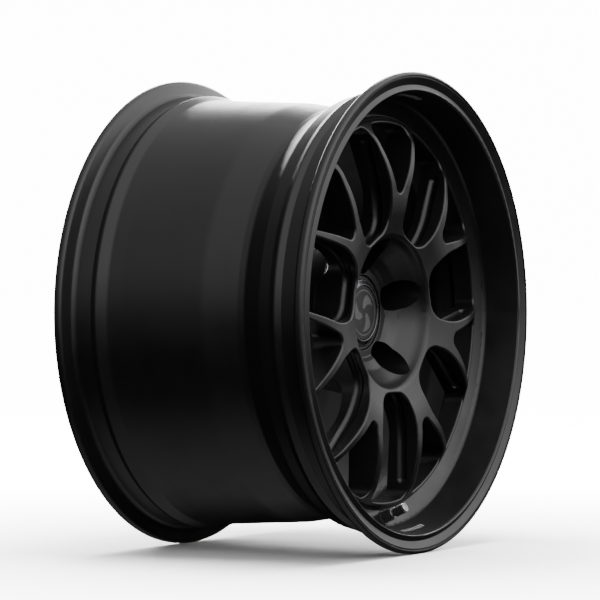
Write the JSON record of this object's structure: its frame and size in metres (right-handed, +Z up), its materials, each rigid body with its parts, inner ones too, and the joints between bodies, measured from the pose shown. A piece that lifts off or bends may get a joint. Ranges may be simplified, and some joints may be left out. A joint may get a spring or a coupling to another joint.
{
  "type": "forged racing wheel rim",
  "caption": "Forged racing wheel rim with Y-shaped spokes, a deep stepped lip, a press-out centre cap and a clamp-in tyre valve with a screw cap and sprung core.",
  "frame": {"origin": "centre of the lug circle on the hub mounting face", "axes": "+Y out of the mounting face along the axle towards the car, +Z up, outboard face looks along -Y, valve at the bottom (-Z)"},
  "size_m": [0.4969, 0.2906, 0.497],
  "materials": {
    "satin_black_coating": "satin black coating over forged aluminium, fine orange peel, light dust",
    "cap_black": "moulded gloss black",
    "cap_bezel": "dark gloss bezel with a lighter sloping face",
    "cap_emblem": null,
    "adhesive_foam": "matt foam",
    "black_rubber": "matt",
    "nickel_brass": "nickel plated, satin",
    "black_anodised": "black anodised, machined",
    "valve_crown": "bright, turned end face",
    "core_brass": "machined",
    "core_sealing": "matt red seal",
    "spring_wire": "drawn wire"
  },
  "bodies": {
    "wheel": {"wheel_forging": "satin_black_coating", "valve_stem": "nickel_brass", "valve_base_seal": "black_rubber", "valve_washer": "black_anodised", "valve_nut": "black_anodised", "core_plug": "core_brass", "core_barrel": "core_brass", "core_barrel_seal": "core_sealing", "core_spring": "spring_wire"},
    "center_cap": {"center_cap_body": "cap_black", "center_cap_bezel": "cap_bezel", "center_cap_emblem": "cap_emblem", "center_cap_adhesive": "adhesive_foam", "center_cap_o_ring": "black_rubber"},
    "valve_cap_carrier": {"valve_cap_seal": "black_rubber"},
    "valve_cap": {"valve_cap_shell": "black_anodised", "valve_cap_crown": "valve_crown"},
    "core_pin": {"core_pin": "core_brass", "core_cup": "core_brass", "core_cup_gasket": "core_sealing"}
  },
  "joints": [
    {"name": "center_cap_pull", "type": "slide", "parent": "wheel", "child": "center_cap", "axis": [0, -1, 0], "range_m": [0, 0.024]},
    {"name": "valve_cap_lift", "type": "slide", "parent": "wheel", "child": "valve_cap_carrier", "axis": [0, -0.9063, 0.4226], "range_m": [0, 0.01032]},
    {"name": "valve_cap_screw", "type": "hinge", "parent": "valve_cap_carrier", "child": "valve_cap", "pos_m": [0, -0.09272, -0.20475], "axis": [0, -0.9063, 0.4226], "range_deg": [0, 4680]},
    {"name": "core_pin_press", "type": "slide", "parent": "wheel", "child": "core_pin", "axis": [0, 0.9063, -0.4226], "range_m": [0, 0.0015], "stiffness_N_per_m": 400, "springref_m": -0.002, "deforming": ["core_spring"]}
  ],
  "couplings": [
    {"joint": "valve_cap_screw", "follows": "valve_cap_lift", "rad_per_m": 7913.3}
  ]
}
